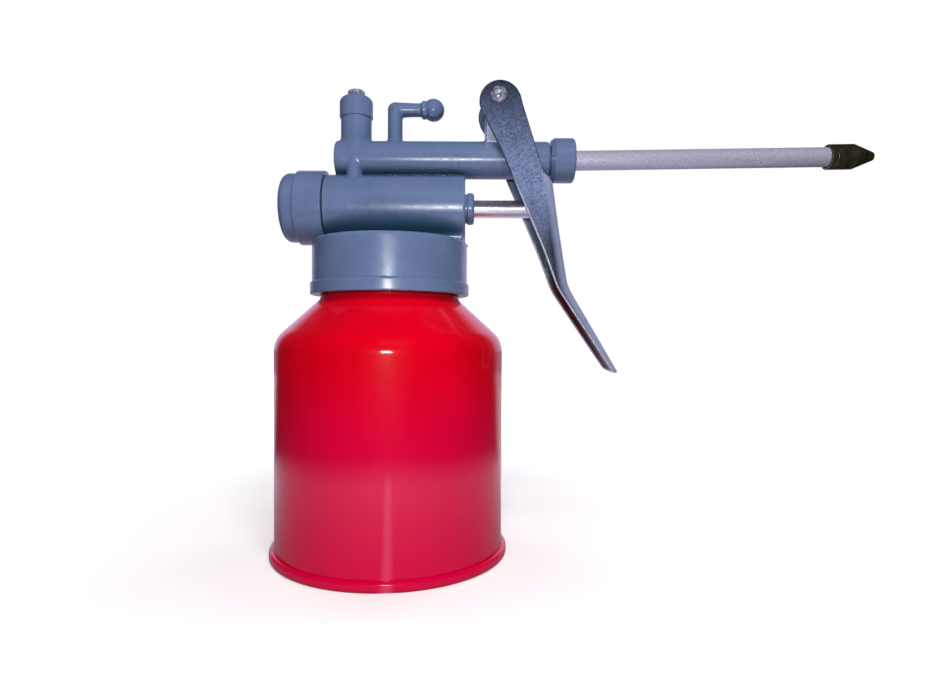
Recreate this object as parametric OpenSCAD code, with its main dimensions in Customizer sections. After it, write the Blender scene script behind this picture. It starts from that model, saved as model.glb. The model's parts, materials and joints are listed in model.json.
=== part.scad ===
// Lever-operated pump oiler: a tinplate can with a screwed-on pump head, squeeze lever and spout.
// Origin: centre of the can's base. +X points along the spout, +Z is up. Millimetres.

/* [Can] */
// Outer radius of the can's straight wall
can_r = 35; // [34.5:0.1:35.4]
// Height at which the wall and the cone of the shoulder would meet
shoulder_z = 65.8; // [64:0.2:66.4]
// Slope of the shoulder, in degrees above the horizontal
shoulder_slope = 42.4; // [41:0.2:43]
// Thickness of the tinplate
tin = 0.5; // [0.4:0.1:0.7]
// Outer radius of the rolled seam round the foot
seam_r = 36.5; // [36.2:0.1:37]
// Height of the rolled seam
seam_h = 3.1; // [2.8:0.1:3.5]

/* [Collar] */
// Outer radius of the screw collar
collar_r = 23.9; // [23.6:0.1:24.2]
// Height of the collar's lower edge
collar_z = 79.6; // [79.4:0.1:79.8]
// Height of the collar's top
collar_top = 96.2; // [96:0.1:96.4]
// Pitch of the screw thread between can and collar
thread_pitch = 3; // [2.8:0.1:3.1]

/* [Pump cylinder] */
// Height of the cylinder's axis
cyl_z = 106.8; // [106.6:0.1:107]
// Outer radius of the cylinder
cyl_r = 10.2; // [10:0.1:10.4]
// Bore radius of the cylinder
bore_r = 6; // [5.9:0.1:6.1]
// Left end of the cylinder, where its cap begins
cyl_left = -19.5; // [-19.7:0.1:-19.3]
// Right end of the cylinder, where the rod leaves
cyl_right = 23.3; // [23.1:0.1:23.5]
// Radius of the plunger rod
rod_r = 2.7; // [2.6:0.05:2.8]

/* [Delivery barrel and spout] */
// Height of the barrel's axis
barrel_z = 121.9; // [121.7:0.1:122.1]
// Outer radius of the barrel
barrel_r = 5.7; // [5.6:0.1:5.8]
// Left end of the barrel
barrel_left = -16.8; // [-17.1:0.1:-16.5]
// Left face of the spout nut
nut_x = 49.6; // [49.4:0.1:49.8]
// Radius of the spout nut
nut_r = 6.8; // [6.7:0.1:6.9]
// Outer radius of the spout tube
spout_r = 3; // [2.9:0.05:3.1]
// Upward tilt of the spout tube, in degrees
spout_tilt = 1.1; // [0:0.1:1.2]
// Length of the spout from the nut to the end of the brass tip
spout_length = 100.7; // [94:0.1:104]

/* [Valves and hook] */
// X of the valve tower's axis
tower_x = -10.7; // [-10.8:0.1:-10.6]
// Radius of the valve tower
tower_r = 4.75; // [4.7:0.05:4.9]
// Radius of the valve balls
ball_r = 2; // [1.95:0.05:2]
// X of the hook's stem
hook_x = 1.4; // [1.2:0.1:1.6]
// Radius of the hook's round bar
hook_r = 2.3; // [2.2:0.1:2.4]

/* [Lever] */
// X of the lever's pivot
pivot_x = 33.3; // [33.2:0.1:33.4]
// Height of the lever's pivot
pivot_z = 139.5; // [139.4:0.1:139.6]
// Thickness of the lever's sheet steel
sheet = 1.2; // [1.1:0.05:1.25]
// Half of the lever's outer width
lever_half = 7.9; // [7.8:0.1:8]
// Outer bend radius between the web and the flanges
bend_r = 4.5; // [4.2:0.1:4.6]

/* [Hidden] */
$fn = 64;
eps = 0.01;

red = [0.80, 0.05, 0.10];
slate = [0.42, 0.48, 0.62];
gunmetal = [0.24, 0.27, 0.34];
steel = [0.75, 0.76, 0.80];
satin = [0.80, 0.80, 0.83];
brass = [0.45, 0.38, 0.20];
black_rubber = [0.10, 0.10, 0.11];
clear_plastic = [0.85, 0.86, 0.82];

// can
neck_base_r = 21.3;
neck_r = 20.3;
neck_step_z = 79.3;
neck_top = 92.5;
lip_r = 0.5;
cone_corner_z = shoulder_z + (can_r - neck_base_r) * tan(shoulder_slope);
corner_drop = tan((90 - shoulder_slope) / 2);
seam_slot_z = 0.9;
thread_z = [83.6, 83.6 + thread_pitch, 83.6 + 2 * thread_pitch];
thread_r = 0.55;

// collar
collar_bore_r = 21.15;
flange_r = 24.5;
flange_h = 3.7;
roof_z = 94.2;
gasket_z = 93.1;

// pump cylinder, left to right
cap_x = -28.2;
cap_gap = 0.3;
dome_x = -32.9;
cap_r = 11.4;
dome_r = 10.6;
spigot_r = 8;
spigot_x = -13.6;
chamber_x = -30.4;
gland_wall_x = 15.6;
packing_x = 19.4;
gland_x = 26.1;
gland_r = 4.9;
gland_thread_r = 4.4;
piston_x = 6.2;
piston_len = 9;
cup_x = 4.2;
rod_stub_r = 1.7;
rod_stub_x = 1.4;
running = 0.05;

// valves
port_r = 1.2;
seat_hole_r = 1.2;
seat_rise = sqrt(ball_r * ball_r - seat_hole_r * seat_hole_r) + 0.05;
outlet_seat_z = 118.4;
outlet_ball_z = outlet_seat_z + seat_rise;
inlet_seat_z = 92.5;
inlet_ball_z = inlet_seat_z + seat_rise;
ball_room_r = ball_r + 0.5;
ball_lift = 1.4;
inlet_roof_z = inlet_ball_z + ball_r + ball_lift + 0.2;
tower_top = 138.4;
cap_band_z = 134.8;
valve_cap_r = 5.15;
valve_cap_top = 141.2;
screw_top = 143.2;
screw_foot_z = 131.5;
screw_r = 2.65;
boss_r = 5;
boss_foot_z = 85.5;

// spout
nut_len = 7.4;
nut_right = nut_x + nut_len;
spigot_end = 53.4;
spout_x = spigot_end + 0.9;
channel_r = 2;
tip_r = 3.85;
tip_len = 14.4;
tip_cone = 6.5;
socket_depth = 6.5;
spout_end = spout_length - (spout_x - nut_x);
tip_start = spout_end - tip_len;
tube_end = tip_start + socket_depth;

// lever, as seen from the side: ear, free edge of the flanges, outer face of the web
ear_r = 6.25;
ear_centre = [33.7, 137.7];
web_top = [49.75, 114.4];
web_bend = [54.9, 82.6];
web_tip = [70.6, 56.2];
web_bend_r = 15;
rivet_r = 1.9;
rivet_head_r = 2.65;
ear_gap = lever_half - sheet;
lug_half = ear_gap - 0.25;
rod_tip_x = 49.4;
flange_edge = [[28.16, 134.8, 0], [34, 123.4, 30], [46.9, 93.4, 30], [51.2, 81.8, 20], [67.9, 57, 0]];

// ---- outline helpers: each corner is [x, y, fillet radius] ----
function unit(v) = v / norm(v);
function flat(p) = [p.x, p.y];
function fillet(a, b, c, r, n) =
    let (
        u = unit(a - b),
        w = unit(c - b),
        half = acos(u * w) / 2,
        centre = b + unit(u + w) * r / sin(half),
        start = b + u * r / tan(half) - centre,
        turn = sign(u.x * w.y - u.y * w.x) * (2 * half - 180)
    )
    [for (i = [0:n]) let (t = turn * i / n)
        centre + [start.x * cos(t) - start.y * sin(t), start.x * sin(t) + start.y * cos(t)]];
function rounded(path, n = 5) =
    let (last = len(path) - 1)
    [for (i = [0:last])
        let (a = path[i == 0 ? last : i - 1], b = path[i], c = path[i == last ? 0 : i + 1])
        each (b.z > 0 ? fillet(flat(a), flat(b), flat(c), b.z, n) : [flat(b)])];

// a turned part about a line along X at height z; points are [x, radius]
module turned_x(z, points) {
    translate([0, 0, z]) rotate([0, 90, 0]) rotate_extrude() polygon([for (p = points) [p.y, p.x]]);
}
module bar_x(z, r, x0, x1) {
    translate([x0, 0, z]) rotate([0, 90, 0]) cylinder(r = r, h = x1 - x0);
}
module bar_z(x, r, z0, z1) {
    translate([x, 0, z0]) cylinder(r = r, h = z1 - z0);
}
module pipe_z(x, r_out, r_in, z0, z1) {
    difference() {
        bar_z(x, r_out, z0, z1);
        bar_z(x, r_in, z0 - 1, z1 + 1);
    }
}
module torus(r, bead) {
    rotate_extrude() translate([r, 0]) circle(r = bead, $fn = 24);
}
// an open helical spring standing on z = 0, its end turns closed up
module spring(r, wire, length, turns) {
    sides = 8;
    steps = 16;
    rings = round(turns * steps);
    function rise(t) =
        let (full = length - 3 * wire)
        t < 1 ? t * wire : t > turns - 1 ? length - wire - (turns - t) * wire
        : wire + (t - 1) * full / (turns - 2);
    points = [for (i = [0:rings]) let (t = turns * i / rings, a = 360 * t)
        each [for (j = [0:sides - 1]) let (b = 360 * j / sides, q = r + wire / 2 * cos(b))
            [q * cos(a), q * sin(a), wire / 2 + rise(t) + wire / 2 * sin(b)]]];
    sides_faces = [for (i = [0:rings - 1], j = [0:sides - 1]) let (k = (j + 1) % sides)
        each [[i * sides + j, i * sides + k, (i + 1) * sides + j],
              [i * sides + k, (i + 1) * sides + k, (i + 1) * sides + j]]];
    ends = [[for (j = [sides - 1:-1:0]) j], [for (j = [0:sides - 1]) rings * sides + j]];
    polyhedron(points, concat(sides_faces, ends));
}

// ---- can ----
module can_shell() {
    outer = [
        [can_r, seam_slot_z, 0], [can_r, shoulder_z, 8], [neck_base_r, cone_corner_z, 2],
        [neck_base_r, neck_step_z, 0], [neck_r, neck_step_z + 0.5, 0], [neck_r, neck_top, 0]
    ];
    inner = [
        [neck_r - tin, neck_top, 0], [neck_r - tin, neck_step_z, 0],
        [neck_base_r - tin, neck_step_z - tin, 0],
        [neck_base_r - tin, cone_corner_z - tin * corner_drop, 1],
        [can_r - tin, shoulder_z - tin * corner_drop, 8 - tin], [can_r - tin, seam_slot_z, 0]
    ];
    color(red) {
        rotate_extrude() polygon(rounded(concat(outer, inner), 8));
        translate([0, 0, neck_top]) torus(neck_r - tin / 2, lip_r);
        for (z = thread_z) translate([0, 0, z]) torus(neck_r, thread_r);
    }
}

module can_bottom() {
    color(red) rotate_extrude() polygon(rounded([
        [0, 1.9, 0], [32.2, 1.9, 1], [33, 0, 0.9], [seam_r, 0, 1], [seam_r, seam_h, 1.1],
        [can_r, seam_h, 0], [can_r, seam_slot_z, 0], [can_r - tin, seam_slot_z, 0],
        [can_r - tin, seam_h, 0], [33.6, seam_h, 0.5], [33.2, 2.5, 0.4], [0, 2.5, 0]
    ]));
}

module neck_gasket() {
    color(black_rubber) pipe_z(0, collar_bore_r - 0.15, 17.8, gasket_z, roof_z);
}

// ---- pump head: one moulding ----
module collar() {
    rotate_extrude() polygon(rounded([
        [0, roof_z, 0], [0, collar_top, 0], [collar_r, collar_top, 0.8],
        [collar_r, collar_z + flange_h, 0.4], [flange_r, collar_z + flange_h, 0.4],
        [flange_r, collar_z, 0.4], [collar_bore_r, collar_z, 0], [collar_bore_r, roof_z, 0]
    ]));
}
module hook() {
    arm_z = 137.4;
    ball_x = 13.3;
    bar_z(hook_x, hook_r, barrel_z, arm_z);
    bar_x(arm_z, hook_r, hook_x, ball_x);
    translate([hook_x, 0, arm_z]) sphere(r = hook_r);
    translate([ball_x, 0, arm_z]) sphere(r = 3.4);
}
module lever_lug() {
    translate([pivot_x, lug_half, pivot_z]) rotate([90, 0, 0]) cylinder(r = 3.9, h = 2 * lug_half);
    translate([pivot_x - 3.9, -lug_half, barrel_z + 3.5])
        cube([7.8, 2 * lug_half, pivot_z - barrel_z - 3.5]);
}
// long-sided column that carries oil from the cylinder up to the barrel
module valve_column() {
    column_r = 2.65;
    side = 3;
    foot_z = 113;
    for (y = [-side, side]) translate([tower_x, y, foot_z]) cylinder(r = column_r, h = barrel_z - foot_z);
    translate([tower_x - column_r + 0.05, -side, foot_z])
        cube([2 * column_r - 0.1, 2 * side, barrel_z - foot_z]);
}
module pump_body_solid() {
    collar();
    bar_z(tower_x, boss_r, boss_foot_z, roof_z + 1);
    translate([-15, -7.5, collar_top - 1]) cube([36, 15, 6]);
    turned_x(cyl_z, rounded([[cyl_left, 0, 0], [cyl_left, cyl_r, 0], [cyl_right, cyl_r, 0.8],
        [cyl_right, 0, 0]]));
    turned_x(barrel_z, rounded([[barrel_left, 0, 0], [barrel_left, barrel_r, 0.7],
        [nut_x - 0.4, barrel_r, 0], [nut_x - 0.4, 4.4, 0], [spigot_end, 4.4, 0], [spigot_end, 0, 0]]));
    valve_column();
    bar_z(tower_x, tower_r, barrel_z, cap_band_z);
    bar_z(tower_x, 4, barrel_z, tower_top);
    hook();
    lever_lug();
}
module pump_body() {
    color(slate) difference() {
        pump_body_solid();
        // thread relief in the collar
        for (z = thread_z) translate([0, 0, z]) torus(collar_bore_r, thread_r);
        // hollow in the collar's top that clears the cap's rim
        bar_x(cyl_z, cap_r + cap_gap, cap_x - 1, cyl_left);
        // cylinder bore, cap spigot, packing and gland
        bar_x(cyl_z, bore_r, cyl_left - 1, gland_wall_x);
        bar_x(cyl_z, spigot_r, cyl_left - 1, spigot_x);
        bar_x(cyl_z, rod_r + 0.1, gland_wall_x - 1, cyl_right + 1);
        bar_x(cyl_z, gland_thread_r, packing_x - 2, cyl_right + 1);
        // inlet: seat insert, ball chamber, port
        bar_z(tower_x, 3.6, boss_foot_z - 1, inlet_seat_z);
        bar_z(tower_x, ball_room_r, inlet_seat_z - 1, inlet_roof_z);
        bar_z(tower_x, port_r, inlet_roof_z - 1, cyl_z - bore_r + 0.5);
        // outlet: port, ball chamber up the tower, delivery channel
        bar_z(tower_x, port_r, cyl_z + bore_r - 0.5, outlet_seat_z + 1);
        bar_z(tower_x, ball_room_r, outlet_seat_z, tower_top + 1);
        bar_x(barrel_z, channel_r, tower_x, spigot_end + 1);
        // lever pivot
        translate([pivot_x, lug_half + 1, pivot_z]) rotate([90, 0, 0])
            cylinder(r = rivet_r + running, h = 2 * lug_half + 2);
    }
}

module cylinder_cap() {
    color(slate) difference() {
        union() {
            turned_x(cyl_z, rounded([[dome_x, 0, 0], [dome_x, dome_r, 2.2], [cap_x, dome_r, 0],
                [cap_x, cap_r, 0.5], [cyl_left - 0.3, cap_r, 0.5], [cyl_left - 0.3, 0, 0]]));
            bar_x(cyl_z, spigot_r - running, cyl_left - 1, spigot_x);
        }
        bar_x(cyl_z, bore_r, chamber_x, spigot_x + 1);
        // groove for the seal behind the cap's rim
        turned_x(cyl_z, [[cyl_left - 1.4, spigot_r], [cyl_left - 1.4, 9.6], [cyl_left + 1, 9.6],
            [cyl_left + 1, spigot_r]]);
    }
}
module cap_seal() {
    color(black_rubber) translate([cyl_left - 0.7, 0, cyl_z]) rotate([0, 90, 0]) torus(8.8, 0.68);
}

// ---- plunger ----
module plunger_rod() {
    shoulder_x = piston_x + piston_len - 2;
    color(steel) turned_x(cyl_z, rounded([[rod_stub_x, 0, 0], [rod_stub_x, rod_stub_r, 0.3],
        [shoulder_x, rod_stub_r, 0], [shoulder_x, rod_r, 0], [rod_tip_x, rod_r, rod_r - 0.1],
        [rod_tip_x, 0, 0]], 8));
}
module piston() {
    color(satin) difference() {
        turned_x(cyl_z, [[piston_x, 0], [piston_x, 5.2], [piston_x + 0.5, bore_r - running],
            [piston_x + piston_len - 0.5, bore_r - running], [piston_x + piston_len, 5.4],
            [piston_x + piston_len, 0]]);
        turned_x(cyl_z, [[piston_x + 4, 5], [piston_x + 4, 7], [piston_x + 5.5, 7], [piston_x + 5.5, 5]]);
        bar_x(cyl_z, rod_stub_r, piston_x - 1, piston_x + piston_len);
        bar_x(cyl_z, rod_r, piston_x + piston_len - 2, piston_x + piston_len + 1);
    }
}
module piston_cup() {
    color(black_rubber) turned_x(cyl_z, [[piston_x, rod_stub_r], [piston_x, bore_r - running],
        [cup_x - 1.4, bore_r - running], [cup_x - 1.4, 5.6], [cup_x, 5.4], [cup_x, rod_stub_r]]);
}
module piston_nut() {
    color(steel) difference() {
        translate([cup_x - 2.4, 0, cyl_z]) rotate([0, 90, 0]) cylinder(r = 3.2, h = 2.4, $fn = 6);
        bar_x(cyl_z, rod_stub_r, cup_x - 3, cup_x + 1);
    }
}
module return_spring() {
    gap = 0.1;
    color(steel) translate([chamber_x + gap, 0, cyl_z]) rotate([0, 90, 0])
        spring(4.85, 0.8, cup_x - chamber_x - 2 * gap, 13);
}
module gland_seal() {
    color(black_rubber) difference() {
        bar_x(cyl_z, gland_thread_r, packing_x - 2, packing_x);
        bar_x(cyl_z, rod_r + running, packing_x - 3, packing_x + 1);
    }
}
module gland_nut() {
    color(slate) difference() {
        union() {
            bar_x(cyl_z, gland_thread_r, packing_x, cyl_right + 0.5);
            turned_x(cyl_z, rounded([[cyl_right, 0, 0], [cyl_right, gland_r, 0.3],
                [gland_x, gland_r, 0.9], [gland_x, 0, 0]]));
        }
        bar_x(cyl_z, rod_r + running, packing_x - 1, gland_x + 1);
    }
}

// ---- spout ----
module spout_nut() {
    color(slate) difference() {
        turned_x(barrel_z, rounded([[nut_x, 0, 0], [nut_x, 5.9, 0], [nut_x + 1.2, nut_r, 0.3],
            [nut_right, nut_r, 0.7], [nut_right, 0, 0]]));
        bar_x(barrel_z, 4.4 + running, nut_x - 1, nut_right - 1.8);
        bar_x(barrel_z, spout_r + 0.12, nut_x, nut_right + 1);
    }
}
module spout_seal() {
    color(black_rubber) difference() {
        bar_x(barrel_z, 4.3, spigot_end, spout_x);
        bar_x(barrel_z, channel_r, spigot_end - 1, spigot_end + 2);
    }
}
// the tube and its tip are tilted up about the middle of the sealing face
module along_spout() {
    translate([spout_x, 0, barrel_z]) rotate([0, 90 - spout_tilt, 0]) children();
}
module spout_tube() {
    flange_gap = 0.1;
    color(satin) along_spout() translate([0, 0, flange_gap]) difference() {
        union() {
            cylinder(r = 4.3, h = 0.7);
            cylinder(r = spout_r, h = tube_end - flange_gap);
        }
        translate([0, 0, -1]) cylinder(r = channel_r, h = tube_end + 2);
    }
}
module nozzle_tip() {
    color(brass) along_spout() difference() {
        rotate_extrude() polygon(rounded([
            [0, tip_start, 0], [tip_r, tip_start, 0.2], [tip_r, spout_end - tip_cone, 0],
            [1.25, spout_end, 0.35], [0, spout_end, 0]
        ]));
        translate([0, 0, tip_start - 1]) cylinder(r = spout_r + 0.3, h = 2.2);
        translate([0, 0, tip_start]) cylinder(r = spout_r, h = socket_depth);
        translate([0, 0, tip_start]) cylinder(r = 1.2, h = tip_len - 3);
        translate([0, 0, tip_start]) cylinder(r = 0.5, h = tip_len + 1);
    }
}

// ---- lever ----
// section of the channel: x runs from the web's outer face into the channel, y across it
module channel_section() {
    depth = bend_r + 2.5;
    polygon(rounded([
        [0, -lever_half, bend_r], [0, lever_half, bend_r], [depth, lever_half, 0],
        [depth, ear_gap, 0], [sheet, ear_gap, bend_r - sheet], [sheet, -ear_gap, bend_r - sheet],
        [depth, -ear_gap, 0], [depth, -lever_half, 0]
    ], 8));
}
module web_length(from, to) {
    along = to - from;
    lean = atan2(along.x, -along.y);
    translate([from.x, 0, from.y]) rotate([0, 180 - lean, 0]) linear_extrude(height = norm(along))
        channel_section();
}
// the two straight lengths of the web and the arc between them, about a line across the lever
module web() {
    up = unit(web_top - web_bend);
    down = unit(web_tip - web_bend);
    half = acos(up * down) / 2;
    run = web_bend_r / tan(half);
    centre = web_bend + unit(up + down) * web_bend_r / sin(half);
    start = web_bend + up * run;
    lap = 0.02;
    web_length(web_top, start - up * lap);
    web_length(web_bend + down * (run - lap), web_tip);
    translate([centre.x, 0, centre.y]) rotate([90, 0, 0])
        rotate([0, 0, atan2(start.y - centre.y, start.x - centre.x)])
            rotate_extrude(angle = 180 - 2 * half) translate([web_bend_r, 0]) channel_section();
}
// everything between the flanges' free edge and a line clear of the web
module side_outline() {
    clear = 3;
    polygon(rounded(concat(flange_edge, [
        [web_tip.x + clear, web_tip.y - clear, 0], [web_bend.x + clear, web_bend.y, 0],
        [web_top.x + clear, web_top.y + clear, 0]
    ])));
}
// the flat ears: the round end, and the part of the flanges beyond the bend
module ear_outline() {
    inset = bend_r + 0.5;
    translate(ear_centre) circle(r = ear_r);
    polygon(rounded(concat([for (i = [0:2]) flange_edge[i]], [
        [web_bend.x - inset, web_bend.y + 4.2, 0], [web_top.x - inset, web_top.y - 0.5, 0],
        [46.9, 116.6, 1], [39.65, 139.6, 0]
    ])));
}
// rounded tongue of the handle, seen square to the lower web
module tongue() {
    along = web_tip - web_bend;
    reach = 120;
    translate([web_tip.x, 0, web_tip.y]) rotate([0, -atan2(along.x, -along.y), 0])
        translate([-reach / 2, 0, 0]) rotate([0, 90, 0]) linear_extrude(height = reach)
            polygon(rounded([[0, -lever_half, 5.5], [0, lever_half, 5.5],
                [-reach, lever_half, 0], [-reach, -lever_half, 0]], 8));
}
module lever() {
    color(gunmetal) difference() {
        union() {
            intersection() {
                web();
                translate([0, lever_half + 1, 0]) rotate([90, 0, 0])
                    linear_extrude(height = 2 * lever_half + 2) side_outline();
                tongue();
            }
            for (y = [-ear_gap, lever_half]) translate([0, y, 0])
                rotate([90, 0, 0]) linear_extrude(height = sheet) ear_outline();
        }
        translate([pivot_x, lever_half + 1, pivot_z]) rotate([90, 0, 0])
            cylinder(r = rivet_r, h = 2 * lever_half + 2);
    }
}
module pivot_rivet() {
    rise = 1.5;
    dome = (rivet_head_r * rivet_head_r + rise * rise) / (2 * rise);
    color(steel) {
        translate([pivot_x, lever_half + 0.1, pivot_z]) rotate([90, 0, 0])
            cylinder(r = rivet_r, h = 2 * lever_half + 0.2);
        for (side = [-1, 1]) translate([pivot_x, side * lever_half, pivot_z])
            rotate([-90 * side, 0, 0]) intersection() {
                translate([0, 0, rise - dome]) sphere(r = dome);
                cylinder(r = rivet_head_r + 1, h = rise + 1);
            }
    }
}

// ---- valves ----
module valve_cap() {
    color(slate) difference() {
        bar_z_rounded = rounded([[0, cap_band_z, 0], [valve_cap_r, cap_band_z, 0.3],
            [valve_cap_r, valve_cap_top, 1.8], [0, valve_cap_top, 0]]);
        translate([tower_x, 0, 0]) rotate_extrude() polygon(bar_z_rounded);
        bar_z(tower_x, 4 + running, cap_band_z - 1, tower_top + 0.8);
        bar_z(tower_x, 1.8, tower_top, valve_cap_top + 1);
    }
}
module valve_seal() {
    color(black_rubber) translate([tower_x, 0, tower_top + 0.4]) torus(3.3, 0.4);
}
module valve_screw() {
    slot = 0.8;
    color(steel) difference() {
        union() {
            bar_z(tower_x, 1.8, screw_foot_z, valve_cap_top + 0.5);
            translate([tower_x, 0, 0]) rotate_extrude() polygon(rounded([[0, valve_cap_top, 0],
                [screw_r, valve_cap_top, 0.2], [screw_r, screw_top, 1.1], [0, screw_top, 0]]));
        }
        translate([tower_x - 4, -slot / 2, screw_top - 0.9]) cube([8, slot, 2]);
    }
}
module outlet_spring() {
    foot = outlet_ball_z + 1.2;
    color(steel) translate([tower_x, 0, foot]) spring(1.9, 0.4, screw_foot_z - foot - 0.1, 9);
}
module outlet_ball() {
    color(steel) translate([tower_x, 0, outlet_ball_z]) sphere(r = ball_r);
}
module inlet_ball() {
    color(steel) translate([tower_x, 0, inlet_ball_z]) sphere(r = ball_r);
}
module inlet_seat() {
    color(brass) difference() {
        union() {
            bar_z(tower_x, 3.6, 87.3, inlet_seat_z);
            bar_z(tower_x, 2.1, 79, 88);
            for (z = [80, 82.5, 85]) translate([tower_x, 0, z]) cylinder(r1 = 2.1, r2 = 2.4, h = 1.2);
        }
        bar_z(tower_x, seat_hole_r, 78, inlet_seat_z + 1);
    }
}
module dip_tube() {
    color(clear_plastic) difference() {
        pipe_z(tower_x, 3, 2.1, 10, 86.8);
        for (z = [80, 82.5, 85]) translate([tower_x, 0, z]) cylinder(r1 = 2.1, r2 = 2.4, h = 1.2);
    }
}
module strainer() {
    foot_z = 5;
    top_z = 16;
    color(brass) difference() {
        bar_z(tower_x, 4.2, foot_z, top_z);
        bar_z(tower_x, 3, 10, top_z + 1);
        bar_z(tower_x, 3.2, foot_z + 0.8, 10 + eps);
        for (a = [0:45:315]) translate([tower_x, 0, foot_z + 1.4]) rotate([0, 0, a])
            translate([2, -0.5, 0]) cube([4, 1, 3]);
    }
}

can_shell();
can_bottom();
neck_gasket();
pump_body();
cylinder_cap();
cap_seal();
piston();
piston_cup();
piston_nut();
plunger_rod();
return_spring();
gland_seal();
gland_nut();
spout_nut();
spout_seal();
spout_tube();
nozzle_tip();
lever();
pivot_rivet();
valve_cap();
valve_seal();
valve_screw();
outlet_spring();
outlet_ball();
inlet_ball();
inlet_seat();
dip_tube();
strainer();
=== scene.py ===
"""Lever-operated pump oiler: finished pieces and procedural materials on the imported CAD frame."""

import json
import math

import bpy
import numpy as np
import openvdb
from mathutils import Matrix, Vector


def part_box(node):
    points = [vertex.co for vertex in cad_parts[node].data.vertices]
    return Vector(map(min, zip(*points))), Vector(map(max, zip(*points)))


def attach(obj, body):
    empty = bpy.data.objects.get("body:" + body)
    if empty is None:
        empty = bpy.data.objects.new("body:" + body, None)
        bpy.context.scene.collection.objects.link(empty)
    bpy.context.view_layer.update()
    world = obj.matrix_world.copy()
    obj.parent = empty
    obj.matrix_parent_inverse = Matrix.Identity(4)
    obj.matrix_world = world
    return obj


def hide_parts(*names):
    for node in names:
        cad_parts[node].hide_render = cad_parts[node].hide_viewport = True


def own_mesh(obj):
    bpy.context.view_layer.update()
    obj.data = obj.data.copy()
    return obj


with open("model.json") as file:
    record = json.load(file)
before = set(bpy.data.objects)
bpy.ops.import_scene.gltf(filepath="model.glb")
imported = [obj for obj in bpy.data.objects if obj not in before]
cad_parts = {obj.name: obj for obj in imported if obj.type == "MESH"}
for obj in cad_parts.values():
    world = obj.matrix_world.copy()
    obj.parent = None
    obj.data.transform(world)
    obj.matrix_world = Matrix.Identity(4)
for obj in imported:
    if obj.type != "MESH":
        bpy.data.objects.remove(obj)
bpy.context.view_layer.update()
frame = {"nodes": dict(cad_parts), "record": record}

MM = 0.001


# ---------------------------------------------------------------- sizes, in millimetres
def node_box(name):
    """Lowest and highest corner of a CAD node, in millimetres."""
    low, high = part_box(name)
    return low / MM, high / MM


shell_high = node_box("can_shell")[1]
seam_high = node_box("can_bottom")[1]
head_low, head_high = node_box("pump_body")
cap_low, cap_high = node_box("cylinder_cap")
gland_high = node_box("gland_nut")[1]
nut_low, nut_high = node_box("spout_nut")
valve_low, valve_high = node_box("valve_cap")
screw_low, screw_high = node_box("valve_screw")
rod_low, rod_high = node_box("plunger_rod")
rivet_low, rivet_high = node_box("pivot_rivet")
coil_low, coil_high = node_box("return_spring")
outlet_low, outlet_high = node_box("outlet_spring")

# can
CAN_R = shell_high.x
LIP_TOP = shell_high.z
TIN = 0.5
SHOULDER_Z = 65.8
SHOULDER_SLOPE = math.radians(42.4)
NECK_BASE_R = 21.3
NECK_R = 20.3
NECK_STEP_Z = 79.3
NECK_TOP = LIP_TOP - 0.5
CONE_CORNER_Z = SHOULDER_Z + (CAN_R - NECK_BASE_R) * math.tan(SHOULDER_SLOPE)
CORNER_DROP = math.tan((math.pi / 2 - SHOULDER_SLOPE) / 2)
SEAM_SLOT_Z = 0.9
SEAM_R = seam_high.x
SEAM_H = seam_high.z

# screw thread between can and collar
THREAD_PITCH = 3
THREAD_FOOT = 83.6
THREAD_HEAD = THREAD_FOOT + 2 * THREAD_PITCH
THREAD_DEPTH = 0.55

# head moulding
COLLAR_Z = head_low.z
COLLAR_TOP = COLLAR_Z + 16.6
COLLAR_R = 23.9
COLLAR_BORE = 21.15
FLANGE_R = head_high.y
FLANGE_H = 3.7
ROOF_Z = node_box("neck_gasket")[1].z
CYL_Z = (cap_low.z + cap_high.z) / 2
CYL_R = 10.2
CYL_LEFT = -19.5
CYL_RIGHT = gland_high.x - 2.8
BORE_R = 6
BARREL_Z = (nut_low.z + nut_high.z) / 2
BARREL_R = 5.7
BARREL_LEFT = -16.8
SPIGOT_R = 4.4
SPIGOT_END = nut_high.x - 3.6
TOWER_X = (valve_low.x + valve_high.x) / 2
TOWER_R = 4.75
BALL_ROOM_R = 2.5
PIVOT_X = (rivet_low.x + rivet_high.x) / 2
PIVOT_Z = (rivet_low.z + rivet_high.z) / 2
HOOK_BALL_R = 3.4
HOOK_R = 2.3
HOOK_Z = PIVOT_Z - 2.1
HOOK_X = TOWER_X + 12.1
HOOK_BALL_X = HOOK_X + 11.9
RIVET_R = 1.9
RIVET_HEAD_R = 2.65
LUG_HALF = 6.45
LUG_R = 3.9
POST_RISE = 3.2
BOSS_R = 5
BOSS_FOOT = 85.5
SADDLE_HALF = 5.6
SADDLE_LEFT = -15
SADDLE_RIGHT = 22.8
COLUMN_R = 2.65
COLUMN_SIDE = 3
COLUMN_FOOT = 113
CAP_SPIGOT_R = 8
CAP_SPIGOT_X = -13.6
CAP_RIM_X = CYL_LEFT - 0.06
SEAL_GROOVE_R = 9.6
CHAMBER_X = -30.4
SEAT_POCKET_R = 3.6
INLET_ROOF = 97.8
OUTLET_SEAT = 118.4
PORT_R = 1.2
CHANNEL_R = 2
SCREW_R = 1.8
SCREW_HEAD_R = 2.65
GLAND_BORE_R = 2.75
NUT_BORE_R = 4.45
NUT_CLEAR_R = 3.12

# lever
LEVER_HALF = node_box("lever")[1].y
SHEET = 1.2
EAR_X = PIVOT_X + 0.4
EAR_Z = PIVOT_Z - 1.8
EAR_R = 6.25
WEB_TOP = (49.75, 114.4)
WEB_BEND = (54.9, 82.6)
WEB_TIP = (70.6, 56.2)
WEB_BEND_R = 15
FLANGE_EDGE = [(28.16, 134.8, 0), (34, 123.4, 30), (46.9, 93.4, 30), (51.2, 81.8, 20), (67.9, 57, 0)]

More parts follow.
